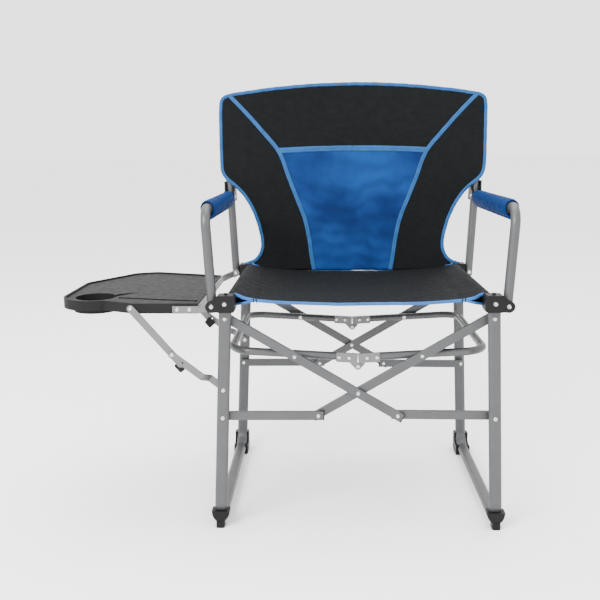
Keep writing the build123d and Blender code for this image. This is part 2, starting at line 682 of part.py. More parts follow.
with BuildPart() as tray:
    plate_top = TRAY_TOP - TRAY_RECESS
    extrude(tray_outline(TRAY_BOTTOM), amount=TRAY_TOP - TRAY_BOTTOM)
    extrude(
        tray_outline(TRAY_BOTTOM, TRAY_WALL), amount=plate_top - TRAY_PLATE - TRAY_BOTTOM, mode=Mode.SUBTRACT
    )
    extrude(tray_outline(plate_top, TRAY_RIM), amount=TRAY_RECESS + 1, mode=Mode.SUBTRACT)
    with BuildSketch(level(CUP_FLOOR)):
        with Locations((CUP_X, CUP_Y)):
            Circle(CUP_R + 3.0)
    extrude(amount=plate_top - CUP_FLOOR)
    with BuildSketch(level(CUP_FLOOR + 3.0)):
        with Locations((CUP_X, CUP_Y)):
            Circle(CUP_R)
    extrude(amount=TRAY_TOP, mode=Mode.SUBTRACT)
    with BuildSketch(level(plate_top - 3.0)):
        with BuildLine():
            Polyline((-500, 72), (-498, 108), (-456, 132), (-500, 72))
        make_face()
        with BuildLine():
            Polyline((-486, 60), (-486, 72), (-316, 36), (-316, 24), (-486, 60))
        make_face()
    extrude(amount=10.0, mode=Mode.SUBTRACT)
    with BuildSketch(facing(REAR_HOLDER_Y - 14, HOLDER_X, HOLDER_Z)):
        Circle(8.0)
    extrude(amount=-14.0)
    holder = through(HOLDER_X, HOLDER_Z)
    pin_hole(holder, RIVET_R, TRAY_FRONT - 1, TRAY_FRONT + 10)
    pin_hole(holder, RIVET_R, REAR_HOLDER_Y - 15, REAR_HOLDER_Y + 1)
    for x in (-352.0, -328.0):
        pin_hole(through(x, 454.0), RIVET_R, TRAY_FRONT - 1, TRAY_FRONT + 10)
save(tray, "table_tray")

with BuildPart() as front_strap:
    with BuildSketch(facing(TRAY_FRONT - STRIP_T, 0, 0)) as strap:
        with BuildLine():
            Polyline((-361, 447), (-309, 447), (-289, 451.5))
            ThreePointArc((-289, 451.5), (-276.2, 460), (-285, 468.8))
            Polyline((-285, 468.8), (-309, 461), (-361, 461), (-361, 447))
        make_face()
    extrude(amount=-STRIP_T)
    pin_hole(through(-EAR_X, EAR_Z), RIVET_R + PLAY, TRAY_FRONT - 4, TRAY_FRONT + 1)
    for x in (-352.0, -328.0):
        pin_hole(through(x, 454.0), RIVET_R, TRAY_FRONT - 4, TRAY_FRONT + 1)
save(front_strap, "table_front_strap")

with BuildPart() as edge_bar:
    with BuildSketch(level(449.0)):
        with BuildLine():
            Polyline(
                (TRAY_INNER_X, TRAY_FRONT + 0.5), (TRAY_INNER_X, TRAY_BACK + 6),
                (-296, 416), (-292, 416), (-307, TRAY_BACK + 5), (-307, TRAY_FRONT + 0.5),
                (TRAY_INNER_X, TRAY_FRONT + 0.5),
            )
        make_face()
    extrude(amount=15.0)
save(edge_bar, "table_edge_bar")

with BuildPart() as rear_strap:
    with BuildSketch(facing(REAR_STRAP_Y, -EAR_X, EAR_Z)) as strap:
        Circle(9.0)
        with Locations((-5.0, -3.5)):
            Rectangle(4.0, 15.0)
        make_hull()
    extrude(amount=-STRIP_T)
    add(edge_bar.part, mode=Mode.SUBTRACT)
    pin_hole(through(-EAR_X, EAR_Z), RIVET_R + PLAY, REAR_STRAP_Y - 1, REAR_STRAP_Y + STRIP_T + 1)
save(rear_strap, "table_rear_strap")

with BuildPart() as table_rivets:
    rivet(through(HOLDER_X, HOLDER_Z), TRAY_FRONT - STRIP_T - 0.4, TRAY_FRONT + TRAY_WALL, last_head=False)
    rivet(through(HOLDER_X, HOLDER_Z), REAR_HOLDER_Y - 8, REAR_HOLDER_Y + STRIP_T + 0.4, first_head=False)
    for x in (-352.0, -328.0):
        rivet(through(x, 454.0), TRAY_FRONT - STRIP_T, TRAY_FRONT + TRAY_WALL)
save(table_rivets, "table_rivets")

upper_turn = degrees(atan2(KNEE_Z - HOLDER_Z, KNEE_X - HOLDER_X))
upper_len = hypot(KNEE_Z - HOLDER_Z, KNEE_X - HOLDER_X)
STRUT_X = -leg_x(STRUT_Z)
lower_turn = degrees(atan2(KNEE_Z - STRUT_Z, KNEE_X - STRUT_X))
lower_len = hypot(KNEE_Z - STRUT_Z, KNEE_X - STRUT_X)
CATCH_X = STRUT_X + (lower_len - 26) * cos(radians(lower_turn))
CATCH_Z = STRUT_Z + (lower_len - 26) * sin(radians(lower_turn))
CATCH_R = 2.0
UPPER_LAYER = {
    "front": (TRAY_FRONT - 0.2 - STRIP_T, TRAY_FRONT - 0.2),
    "rear": (REAR_HOLDER_Y + 0.2, REAR_HOLDER_Y + 0.2 + STRIP_T),
}
LOWER_LAYER = {
    "front": (TRAY_FRONT - 0.5 - 2 * STRIP_T, TRAY_FRONT - 0.5 - STRIP_T),
    "rear": (REAR_HOLDER_Y + 0.5 + STRIP_T, REAR_HOLDER_Y + 0.5 + 2 * STRIP_T),
}
LEG_LAYER = {"front": (7.3, 7.3 + STRIP_T), "rear": (419.7, 419.7 + STRIP_T)}
STEP_START = 34.0
STEP_END = 48.0

with BuildPart() as upper_links:
    for row in ROWS:
        y0, y1 = UPPER_LAYER[row]
        with BuildSketch(facing(y0, HOLDER_X, HOLDER_Z, upper_turn)):
            with Locations(((upper_len + 25) / 2, 0)):
                SlotOverall(upper_len + 25 + LINK_W, LINK_W)
        extrude(amount=-STRIP_T)
        pin_hole(through(HOLDER_X, HOLDER_Z), RIVET_R + PLAY, y0 - 1, y1 + 1)
        pin_hole(through(CATCH_X, CATCH_Z), CATCH_R, y0 - 1, y1 + 1)
save(upper_links, "table_upper_links")

with BuildPart() as stop_blocks:
    for row in ROWS:
        y0, y1 = UPPER_LAYER[row]
        y0, y1 = (y0, y1 + 9.0) if row == "front" else (y0 - 9.0, y1)
        with BuildSketch(facing(y0, KNEE_X, KNEE_Z, upper_turn)):
            with Locations((28.5, -4.0)):
                RectangleRounded(20.0, 17.0, 3.5)
        extrude(amount=-(y1 - y0))
    add(upper_links.part, mode=Mode.SUBTRACT)
save(stop_blocks, "table_stop_blocks")

with BuildPart() as lower_links:
    turn = radians(lower_turn)
    for row in ROWS:
        inner, inner_back = LEG_LAYER[row]
        outer, outer_back = LOWER_LAYER[row]
        side_on = Plane(
            origin=(MID_X + STRUT_X, FRONT_Y, STRUT_Z),
            x_dir=(cos(turn), 0, sin(turn)),
            z_dir=(-sin(turn), 0, cos(turn)),
        )
        with BuildSketch(side_on) as profile:
            with BuildLine():
                Polyline(
                    (0, inner), (STEP_START, inner), (STEP_END, outer), (lower_len, outer),
                    (lower_len, outer_back), (STEP_END + 1.8, outer_back), (STEP_START + 1.8, inner_back),
                    (0, inner_back), (0, inner),
                )
            make_face()
        extrude(profile.sketch, amount=LINK_W / 2, both=True)
        for x, z, layer in ((STRUT_X, STRUT_Z, LEG_LAYER[row]), (KNEE_X, KNEE_Z, LOWER_LAYER[row])):
            with BuildSketch(facing(layer[0], x, z)):
                Circle(LINK_W / 2)
            extrude(amount=-STRIP_T)
        lo = outer
        hi = inner_back
        pin_hole(through(STRUT_X, STRUT_Z), RIVET_R + PLAY, lo - 1, hi + 1)
        pin_hole(through(KNEE_X, KNEE_Z), RIVET_R, lo - 1, hi + 1)
        pin_hole(through(CATCH_X, CATCH_Z), CATCH_R, lo - 1, hi + 1)
save(lower_links, "table_lower_links")

with BuildPart() as knee_rivets:
    for row in ROWS:
        front = row == "front"
        rivet(through(KNEE_X, KNEE_Z), *LOWER_LAYER[row], first_head=front, last_head=not front)
save(knee_rivets, "table_knee_rivets")
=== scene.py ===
import json
from math import cos, hypot, pi, radians, sin, sqrt, tan

import bpy
from mathutils import Matrix, Vector, noise


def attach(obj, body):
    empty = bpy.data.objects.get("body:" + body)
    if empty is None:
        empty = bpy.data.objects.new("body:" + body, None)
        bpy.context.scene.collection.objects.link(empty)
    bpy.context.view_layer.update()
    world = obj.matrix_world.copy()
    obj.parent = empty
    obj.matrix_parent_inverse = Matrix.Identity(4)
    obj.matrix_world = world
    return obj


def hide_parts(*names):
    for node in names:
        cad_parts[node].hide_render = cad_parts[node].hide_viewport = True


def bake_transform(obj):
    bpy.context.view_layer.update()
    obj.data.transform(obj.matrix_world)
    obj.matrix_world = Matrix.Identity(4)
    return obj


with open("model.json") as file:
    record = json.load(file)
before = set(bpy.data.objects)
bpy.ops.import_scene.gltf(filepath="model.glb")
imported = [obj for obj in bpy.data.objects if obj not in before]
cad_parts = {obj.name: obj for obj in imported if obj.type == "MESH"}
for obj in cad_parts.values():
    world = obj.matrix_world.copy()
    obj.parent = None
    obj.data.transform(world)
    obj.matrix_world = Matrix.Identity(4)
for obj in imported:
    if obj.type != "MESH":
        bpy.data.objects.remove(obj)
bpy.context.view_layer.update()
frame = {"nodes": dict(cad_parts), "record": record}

# ---------------------------------------------------------------- places, in millimetres of the chair
MID_X = 140.4
FRONT_Y = -221.8
DEPTH = 430.0
EAR_X = 285.0
EAR_Z = 460.0
LEAN = radians(3.2)
RECLINE = radians(3.0)
ARM_RISE = 186.0
TUBE_R = 9.5
PANEL_AHEAD = 11.2
SIDES = {"left": -1, "right": 1}


def at(x, y, z):
    """A point of the chair in the row frame, in metres."""
    return Vector(((MID_X + x) / 1000, (FRONT_Y + y) / 1000, z / 1000))


def on_back(x, v, ahead):
    """A point x across and v up the reclined back, ahead of the posts' centre plane."""
    y = DEPTH + v * sin(RECLINE) - ahead * cos(RECLINE)
    z = EAR_Z + v * cos(RECLINE) + ahead * sin(RECLINE)
    return at(x, y, z)


def on_arm(sign, y, up, out):
    """A point beside an arm tube: up its post from the ear, and out sideways from its middle."""
    return at(
        sign * (EAR_X + up * sin(LEAN)) + out * cos(LEAN), y, EAR_Z + up * cos(LEAN) - sign * out * sin(LEAN)
    )


# ---------------------------------------------------------------- shader helpers
class Shader:
    """One material's node tree, with a principled shader and short ways to add to it."""

    def __init__(self, name, color, roughness, metallic=0.0):
        self.mat = bpy.data.materials.new(name)
        self.mat.use_nodes = True
        self.tree = self.mat.node_tree
        self.shader = self.tree.nodes["Principled BSDF"]
        self.shader.inputs["Base Color"].default_value = (*color, 1)
        self.shader.inputs["Roughness"].default_value = roughness
        self.shader.inputs["Metallic"].default_value = metallic
        self.color = color
        self.coords = self.node("ShaderNodeTexCoord")

    def node(self, kind, **values):
        made = self.tree.nodes.new(kind)
        for key, value in values.items():
            if key in made.inputs:
                made.inputs[key].default_value = value
            else:
                setattr(made, key, value)
        return made

    def link(self, out, into):
        self.tree.links.new(out, into)

    def noise(self, scale, detail=3.0, roughness=0.5, source="Object"):
        made = self.node("ShaderNodeTexNoise")
        made.inputs["Scale"].default_value = scale
        made.inputs["Detail"].default_value = detail
        made.inputs["Roughness"].default_value = roughness
        self.link(self.coords.outputs[source], made.inputs["Vector"])
        return made.outputs["Fac"]

    def wave(self, scale, axis, source="Object", profile="SIN"):
        made = self.node("ShaderNodeTexWave")
        made.wave_type = "BANDS"
        made.bands_direction = axis
        made.wave_profile = profile
        made.inputs["Scale"].default_value = scale
        self.link(self.coords.outputs[source], made.inputs["Vector"])
        return made.outputs["Fac"]

    def math(self, operation, a, b):
        made = self.node("ShaderNodeMath")
        made.operation = operation
        for value, socket in ((a, made.inputs[0]), (b, made.inputs[1])):
            if isinstance(value, (int, float)):
                socket.default_value = value
            else:
                self.link(value, socket)
        return made.outputs[0]

    def ramp(self, fac, low, high, start=0.3, end=0.7):
        made = self.node("ShaderNodeValToRGB")
        made.color_ramp.elements[0].position = start
        made.color_ramp.elements[0].color = (*low, 1)
        made.color_ramp.elements[1].position = end
        made.color_ramp.elements[1].color = (*high, 1)
        self.link(fac, made.inputs["Fac"])
        return made.outputs["Color"]

    def mix(self, fac, a, b, mode="MIX"):
        made = self.node("ShaderNodeMix")
        made.data_type = "RGBA"
        made.blend_type = mode
        if isinstance(fac, (int, float)):
            made.inputs["Factor"].default_value = fac
        else:
            self.link(fac, made.inputs["Factor"])
        for value, socket in ((a, made.inputs[6]), (b, made.inputs[7])):
            if isinstance(value, tuple):
                socket.default_value = (*value, 1)
            else:
                self.link(value, socket)
        return made.outputs[2]

    def vary(self, scale, amount, detail=3.0):
        """Base colour that drifts a little up and down over the surface."""
        low = tuple(c * (1 - amount) for c in self.color)
        high = tuple(min(1.0, c * (1 + amount)) for c in self.color)
        color = self.ramp(self.noise(scale, detail), low, high)
        self.paint(color)
        return color

    def paint(self, color):
        self.link(color, self.shader.inputs["Base Color"])

    def rough(self, scale, low, high):
        made = self.node("ShaderNodeMapRange")
        self.link(self.noise(scale, 4.0), made.inputs["Value"])
        made.inputs["From Min"].default_value = 0.3
        made.inputs["From Max"].default_value = 0.7
        made.inputs["To Min"].default_value = low
        made.inputs["To Max"].default_value = high
        self.link(made.outputs["Result"], self.shader.inputs["Roughness"])

    def bump(self, height, strength, distance):
        made = self.node("ShaderNodeBump")
        made.inputs["Strength"].default_value = strength
        made.inputs["Distance"].default_value = distance
        self.link(height, made.inputs["Height"])
        if self.shader.inputs["Normal"].is_linked:
            before = self.shader.inputs["Normal"].links[0].from_socket
            self.link(before, made.inputs["Normal"])
        self.link(made.outputs["Normal"], self.shader.inputs["Normal"])

    def specular(self, level):
        self.shader.inputs["Specular IOR Level"].default_value = level

    def sheen(self, weight, tint):
        self.shader.inputs["Sheen Weight"].default_value = weight
        self.shader.inputs["Sheen Tint"].default_value = (*tint, 1)
        self.shader.inputs["Sheen Roughness"].default_value = 0.45


# ---------------------------------------------------------------- materials
def powder_coat(name, color, roughness):
    s = Shader(name, color, roughness, 0.5)
    s.vary(30.0, 0.06)
    s.rough(110.0, roughness - 0.03, roughness + 0.06)
    s.bump(s.noise(2200.0, 2.0), 0.06, 0.0003)
    s.bump(s.noise(500.0, 2.0), 0.04, 0.0004)
    s.specular(0.35)
    return s.mat


def plastic(name, color, roughness, grain=1100.0, strength=0.14, specular=0.15):
    s = Shader(name, color, roughness)
    s.vary(24.0, 0.10)
    s.rough(90.0, roughness - 0.04, roughness + 0.08)
    s.bump(s.noise(grain, 3.0, 0.6), strength, 0.0004)
    s.specular(specular)
    return s.mat


def rivet_metal():
    s = Shader("zinc_rivet", (0.46, 0.46, 0.455), 0.28, 1.0)
    s.vary(300.0, 0.08)
    s.rough(500.0, 0.20, 0.38)
    s.bump(s.noise(900.0, 3.0), 0.10, 0.0004)
    return s.mat


def woven(name, color, thread, sheen=0.015, tint=(0.5, 0.5, 0.55), drift=0.12):
    """Plain-weave cloth in object coordinates: warp and weft bumps, and slow changes of tone."""
    s = Shader(name, color, 0.72)
    across = s.wave(1.0 / thread / 2.0, "X")
    up = s.wave(1.0 / thread / 2.0, "Z")
    back = s.wave(1.0 / thread / 2.0, "Y")
    tone = s.vary(7.0, drift, 5.0)
    fine = s.math("MULTIPLY", s.math("ADD", up, back), across)
    s.paint(s.mix(s.math("MULTIPLY", fine, 0.35), tone, tuple(c * 1.7 + 0.001 for c in color)))
    s.bump(fine, 0.30, 0.0004)
    s.bump(s.noise(30.0, 4.0), 0.12, 0.004)
    s.rough(60.0, 0.62, 0.80)
    s.sheen(sheen, tint)
    s.specular(0.06)
    return s.mat


def mesh_cloth():
    """Knitted spacer mesh: rows of small round dimples over a darker base, cloudy in tone."""
    color = (0.0045, 0.030, 0.110)
    s = Shader("blue_mesh", color, 0.62)
    cells = s.node("ShaderNodeTexVoronoi")
    cells.inputs["Scale"].default_value = 420.0
    cells.inputs["Randomness"].default_value = 0.18
    s.link(s.coords.outputs["Object"], cells.inputs["Vector"])
    holes = s.ramp(cells.outputs["Distance"], (0, 0, 0), (1, 1, 1), 0.16, 0.42)
    cloud = s.ramp(s.noise(9.0, 4.0), (0.0008, 0.0120, 0.066), (0.0036, 0.0370, 0.152), 0.36, 0.66)
    s.paint(s.mix(holes, (0.0005, 0.0070, 0.038), cloud))
    s.bump(holes, 0.45, 0.0008)
    s.bump(s.noise(20.0, 3.0), 0.12, 0.004)
    s.specular(0.08)
    s.sheen(0.03, (0.25, 0.45, 0.95))
    return s.mat


def tape(name, color, stitch):
    """Woven edging tape in its own length coordinate, with fine ribs and a row of stitches."""
    s = Shader(name, color, 0.6)
    uv = s.coords.outputs["UV"]
    split = s.node("ShaderNodeSeparateXYZ")
    s.link(uv, split.inputs[0])
    along = split.outputs["X"]
    across = split.outputs["Y"]
    ribs = s.math("SINE", s.math("MULTIPLY", along, 2 * pi / 1.1), 0.0)
    dash = s.math("GREATER_THAN", s.math("FRACT", s.math("DIVIDE", along, 4.2), 0.0), 0.28)
    line = s.math("LESS_THAN", s.math("ABSOLUTE", s.math("SUBTRACT", across, 0.24), 0.0), 0.045)
    other = s.math("LESS_THAN", s.math("ABSOLUTE", s.math("SUBTRACT", across, 0.76), 0.0), 0.045)
    rows = s.math("MULTIPLY", s.math("MAXIMUM", line, other), dash)
    tone = s.vary(45.0, 0.16)
    s.paint(s.mix(rows, tone, stitch))
    s.bump(ribs, 0.25, 0.0003)
    s.bump(rows, 0.5, 0.0006)
    s.bump(s.noise(180.0, 3.0), 0.15, 0.001)
    s.specular(0.12)
    s.sheen(0.03, (0.4, 0.6, 1.0))
    return s.mat


def foam():
    s = Shader("black_foam", (0.005, 0.005, 0.0055), 0.9)
    s.vary(200.0, 0.4)
    s.bump(s.noise(700.0, 4.0, 0.7), 0.6, 0.001)
    return s.mat


GREY = powder_coat("grey_powder_coat", (0.066, 0.067, 0.069), 0.40)
PALE = powder_coat("pale_powder_coat", (0.120, 0.121, 0.122), 0.38)
BLACK = plastic("black_plastic", (0.0040, 0.0040, 0.0043), 0.46)
TRAY = plastic("tray_plastic", (0.0098, 0.0099, 0.0101), 0.55, 800.0, 0.20, 0.06)
RIVET = rivet_metal()
CLOTH = woven("black_polyester", (0.0034, 0.0040, 0.0042), 0.0011)
# The post sleeves get a darker copy of the same black polyester: painted shade on the cloth where it wraps
# round the posts.
SLEEVE = woven("black_polyester_shaded", (0.0028, 0.0031, 0.0033), 0.0011)
MESH = mesh_cloth()
BINDING = tape("blue_binding", (0.0100, 0.056, 0.170), (0.020, 0.090, 0.220))
PIPING = tape("blue_piping", (0.018, 0.085, 0.260), (0.035, 0.125, 0.31))
PAD = woven("blue_polyester", (0.0008, 0.0160, 0.075), 0.0013, 0.02, (0.3, 0.5, 1.0), 0.18)
THREAD = woven("black_thread", (0.0060, 0.0065, 0.0070), 0.0006)
FOAM = foam()


# ---------------------------------------------------------------- mesh helpers
def solid(name, points, faces, material, uvs=None, smooth=True):
    """A mesh from points in metres and index faces; uvs holds one pair for each point."""
    data = bpy.data.meshes.new(name)
    data.from_pydata([tuple(p) for p in points], [], faces)
    if uvs:
        layer = data.uv_layers.new(name="UVMap")
        for loop in data.loops:
            layer.data[loop.index].uv = uvs[loop.vertex_index]
    data.materials.append(material)
    for polygon in data.polygons:
        polygon.use_smooth = smooth
    data.update()
    made = bpy.data.objects.new(name, data)
    bpy.context.scene.collection.objects.link(made)
    return made


def grid_faces(rows, cols, closed=False):
    """Faces of a grid of points, row by row; closed joins the last column to the first."""
    faces = []
    last = cols if closed else cols - 1
    for i in range(rows - 1):
        for j in range(last):
            k = (j + 1) % cols
            faces.append((i * cols + j, i * cols + k, (i + 1) * cols + k, (i + 1) * cols + j))
    return faces


def thicken(obj, thickness, offset=0.0, levels=0):
    """Give a sheet its thickness, smooth it if asked, and keep the result as its mesh."""
    if levels:
        smooth = obj.modifiers.new("smooth", "SUBSURF")
        smooth.levels = levels
        smooth.render_levels = levels
    wall = obj.modifiers.new("wall", "SOLIDIFY")
    wall.thickness = thickness
    wall.offset = offset
    return settle(obj)


def settle(obj):
    """Apply an object's modifiers to its mesh."""
    bpy.context.view_layer.update()
    shaped = bpy.data.meshes.new_from_object(obj.evaluated_get(bpy.context.evaluated_depsgraph_get()))
    obj.modifiers.clear()
    obj.data = shaped
    for polygon in obj.data.polygons:
        polygon.use_smooth = True
    return obj


def resample(points, step):
    """Points spaced evenly along a polyline."""
    points = [Vector(p) for p in points]
    lengths = [0.0]
    for a, b in zip(points, points[1:]):
        lengths.append(lengths[-1] + (b - a).length)
    count = max(2, int(round(lengths[-1] / step)) + 1)
    found = []
    k = 0
    for i in range(count):
        d = lengths[-1] * i / (count - 1)
        while k < len(points) - 2 and lengths[k + 1] < d:
            k += 1
        span = max(lengths[k + 1] - lengths[k], 1e-9)
        found.append(points[k].lerp(points[k + 1], min(1.0, (d - lengths[k]) / span)))
    return found


def rounded(points, passes=3):
    """Corner cutting: turns a coarse route into a soft curve that keeps its ends."""
    points = [Vector(p) for p in points]
    for _ in range(passes):
        cut = [points[0]]
        for a, b in zip(points, points[1:]):
            cut.append(a.lerp(b, 0.25))
            cut.append(a.lerp(b, 0.75))
        cut.append(points[-1])
        points = cut
    return points


def ribbon(name, path, faces_to, width, thick, material, wobble=0.0, seed=0.0):
    """A flat, slightly crowned tape along a path; faces_to(point) is the way its face looks."""
    path = resample(path, 0.004)
    profile = []
    for k in range(16):
        t = 2 * pi * k / 16
        c, s = cos(t), sin(t)
        profile.append((0.5 * width * (abs(c) ** 0.55) * (1 if c >= 0 else -1), 0.5 * thick * s))
    points = []
    uvs = []
    run = 0.0
    for i, p in enumerate(path):
        before = path[max(i - 1, 0)]
        after = path[min(i + 1, len(path) - 1)]
        tangent = (after - before).normalized()
        if i:
            run += (p - path[i - 1]).length
        out = faces_to(p)
        out = (out - out.dot(tangent) * tangent).normalized()
        side = out.cross(tangent)
        shift = wobble * noise.noise(Vector((run * 60, seed, 0.3)))
        puff = 1 + 0.10 * noise.noise(Vector((run * 170, seed, 1.7)))
        for a, b in profile:
            points.append(p + side * (a + shift) + out * b * puff)
            uvs.append((run * 1000, a / width + 0.5))
    faces = grid_faces(len(path), 16, closed=True)
    faces.append(tuple(reversed(range(16))))
    faces.append(tuple(range((len(path) - 1) * 16, len(path) * 16)))
    return solid(name, points, faces, material, uvs)


def stitches(name, path, out, gap, thread, material):
    """A row of short raised stitches that follows a path."""
    path = resample(path, gap)
    points = []
    faces = []
    for a, b in zip(path, path[1:]):
        tangent = (b - a).normalized()
        face = out(a)
        face = (face - face.dot(tangent) * tangent).normalized()
        side = face.cross(tangent)
        base = len(points)
        length = gap * 0.62
        for t, r in ((0.0, 0.4), (0.25, 0.9), (0.75, 0.9), (1.0, 0.4)):
            centre = a + tangent * (length * t) + face * (thread * 0.25)
            for k in range(6):
                angle = 2 * pi * k / 6
                points.append(centre + (side * cos(angle) + face * sin(angle)) * thread * 0.5 * r)
        for f in grid_faces(4, 6, closed=True):
            faces.append(tuple(base + i for i in f))
        faces.append(tuple(base + i for i in reversed(range(6))))
        faces.append(tuple(base + 18 + i for i in range(6)))
    return solid(name, points, faces, material)


def smooth_step(x):
    x = min(1.0, max(0.0, x))
    return x * x * (3 - 2 * x)


def along(table, v):
    """Straight-line reading of a short table of (v, value) pairs."""
    if v <= table[0][0]:
        return table[0][1]
    for (v0, a), (v1, b) in zip(table, table[1:]):
        if v <= v1:
            return a + (b - a) * (v - v0) / (v1 - v0)
    return table[-1][1]


def curve_through(keys, v):
    """Smooth reading of a table of (v, value) pairs."""
    if v <= keys[0][0]:
        return keys[0][1]
    if v >= keys[-1][0]:
        return keys[-1][1]
    for i in range(len(keys) - 1):
        v0, a = keys[i]
        v1, b = keys[i + 1]
        if v <= v1:
            t = (v - v0) / (v1 - v0)
            before = keys[i - 1] if i else keys[i]
            after = keys[i + 2] if i + 2 < len(keys) else keys[i + 1]
            m0 = (b - before[1]) / (v1 - before[0]) * (v1 - v0)
            m1 = (after[1] - a) / (after[0] - v0) * (v1 - v0)
            h = t * t * (3 - 2 * t)
            return a * (1 - h) + b * h + m0 * t * (1 - t) ** 2 - m1 * t * t * (1 - t)


# ---------------------------------------------------------------- the back
# Half outline from the bottom corner up the side to the top corner, as (across, up)
SIDE_EDGE = [
    (262, 22), (254, 26), (240, 30), (228, 42), (221, 60), (221, 80), (226, 104), (234, 132),
    (246, 160), (262, 186), (274, 200), (290, 214), (305, 226), (315, 240), (318, 258), (318.5, 300),
    (318.5, 350), (318.5, 392), (317, 408),
]
SEAM = [
    (0, 92), (40, 99), (78, 104), (130, 115), (180, 134), (232, 154), (292, 177), (340, 216), (385, 256),
    (424, 294),
]
MESH_TOP = 296.0


def top_edge(x):
    return 452 - 25 * (abs(x) / 298) ** 2


def half_outline():
    """The bound part of the half outline: up the side and over to the top middle."""
    found = list(SIDE_EDGE)
    found += [(314, 417), (307, 423), (297, 427)]
    found += [(x, top_edge(x)) for x in (270, 230, 180, 120, 60, 0)]
    return found


def belly(x, v):
    """How far the cloth stands back from its flat plane, with soft pulls towards the posts."""
    inner = max(0.0, 1 - (x / 285) ** 2)
    sag = 5.0 * inner * sin(pi * min(1.0, max(0.0, (v + 40) / 500)))
    ripple = 1.3 * noise.noise(Vector((x / 70, v / 120, 2.0)))
    ripple += 0.5 * noise.noise(Vector((x / 22, v / 40, 5.0)))
    return sag + ripple * (0.35 + inner)


def back_point(x, v, ahead=0.0):
    return on_back(x, v, PANEL_AHEAD + ahead - belly(x, v))


def back_face(_):
    return Vector((0, -cos(RECLINE), sin(RECLINE)))


def build_back():
    """The front cloth of the back as one sheet: black sides and top, blue mesh in the middle."""
    levels = [5, 16, 30, 44, 62, 80, 104, 132, 160, 186, 200, 214, 226, 240, 258, 277]
    levels += [MESH_TOP, 315, 335, 360, 385, 405, 420, 432, 442, 450]
    levels = sorted(levels)
    inner = [i / 14 for i in range(15)]
    points = []
    cols = 0
    for v in levels:
        row = []
        seam = curve_through(SEAM, min(v, 424))
        edge = curve_through([(b, a) for a, b in SIDE_EDGE[2:]], v)
        if v > 408:
            edge = 317 - 12 * min(1.0, (v - 408) / 44) ** 2
        seam = min(seam, edge - 14)
        for f in inner:
            row.append(seam * f)
        for k in range(1, 11):
            row.append(seam + (edge - seam) * k / 10)
        cols = len(row)
        full = [-x for x in reversed(row[1:])] + row
        for x in full:
            top = top_edge(x)
            if abs(x) > 298:
                d = min(18.0, abs(x) - 298)
                top = 409 + sqrt(max(0.0, 18.0**2 - d * d))
            if v > 385:
                lift = 385 + (v - 385) * (top - 385) / (450 - 385)
            else:
                lift = v
            points.append(back_point(x, lift))
    width = 2 * cols - 1
    faces = grid_faces(len(levels), width)
    sheet = solid("back_cloth", points, faces, CLOTH)
    sheet.data.materials.append(MESH)
    for polygon in sheet.data.polygons:
        row = polygon.index // (width - 1)
        col = polygon.index % (width - 1)
        middle = width // 2
        inside = middle - 14 <= col < middle + 14
        if inside and levels[row] < MESH_TOP:
            polygon.material_index = 1
    return thicken(sheet, 0.0012, 0.0, 1)


back = build_back()

# The binding's middle line is set in from the edge by less than half its width
outline = half_outline()
inset = []
for i, (x, v) in enumerate(outline):
    x0, v0 = outline[max(i - 1, 0)]
    x1, v1 = outline[min(i + 1, len(outline) - 1)]
    run = hypot(x1 - x0, v1 - v0)
    inset.append(Vector((x - 2.6 * (v1 - v0) / run, v + 2.6 * (x1 - x0) / run, 0)))
route = rounded(inset, 2)
bindings = []
for side, sign in SIDES.items():
    path = [back_point(sign * p.x, p.y, 0.2) for p in route]
    bindings.append(ribbon(f"back_binding_{side}", path, back_face, 0.0082, 0.0040, BINDING, 0.0006, 3.0))

for side, sign in SIDES.items():
    keys = [(curve_through(SEAM, v), v) for v in range(6, 425, 8)] + [(296, 426)]
    path = [back_point(sign * x, v, 1.2) for x, v in keys]
    seam = ribbon(f"back_seam_{side}", path, back_face, 0.0095, 0.0016, BINDING, 0.0004, 7.0 + sign)
    bindings.append(seam)
half_seam = curve_through(SEAM, MESH_TOP)
for side, sign in SIDES.items():
    path = []
    for k in range(13):
        x = sign * half_seam * k / 12
        path.append(back_point(x, MESH_TOP + 5 * (1 - (k / 12) ** 2) - 2, 1.0))
    seam = ribbon(f"back_cross_seam_{side}", path, back_face, 0.0130, 0.0015, BINDING, 0.0004, 11.0)
    bindings.append(seam)

casings = []
for side, sign in SIDES.items():
    points = []
    rows = 24
    cols = 22
    for i in range(rows):
        v = 238 + (404 - 238) * i / (rows - 1)
        axis = EAR_X + v * tan(LEAN)
        for j in range(cols):
            a = radians(-32 + 244 * j / (cols - 1))
            r = TUBE_R + 1.9 + 0.5 * noise.noise(Vector((v / 22, a * 1.5, 4.0 + sign)))
            x = axis - r * cos(a)
            d = r * sin(a)
            if j == 0:
                x, d = axis - 24, -(PANEL_AHEAD - 2.0)
            elif j == cols - 1:
                x, d = min(axis + 13.5, 315.5), -(PANEL_AHEAD - 1.5)
            points.append(on_back(sign * x, v, -d))
    casing = solid(f"back_casing_{side}", points, grid_faces(rows, cols), SLEEVE)
    casings.append(thicken(casing, 0.0010, 0.0))

# ---------------------------------------------------------------- the seat
SEAT_PROFILE = [
    (201, 468.3), (222, 463.8), (240, 458.6), (250, 456.9), (256, 459.4), (260.3, 464.5), (260.9, 470.5),
    (258.6, 476.0), (254.0, 479.8), (248.0, 480.7), (241, 479.4), (232, 476.6), (218, 472.9), (203, 469.8),
    (180, 467.2), (150, 465.0), (120, 463.6), (90, 462.6), (60, 461.9), (30, 461.5), (0, 461.4),
]


def seat_sag(x, y):
    """Extra drop of the seat cloth away from its taut ends, with a few soft pulls."""
    inner = max(0.0, 1 - (x / 236) ** 2)
    middle = sin(pi * min(1.0, max(0.0, y / DEPTH)))
    pull = noise.noise(Vector((x / 80, y / 150, 9.0)))
    pull += 0.4 * noise.noise(Vector((x / 25, y / 60, 1.0)))
    return inner * (1.6 * middle - 0.8 + pull)


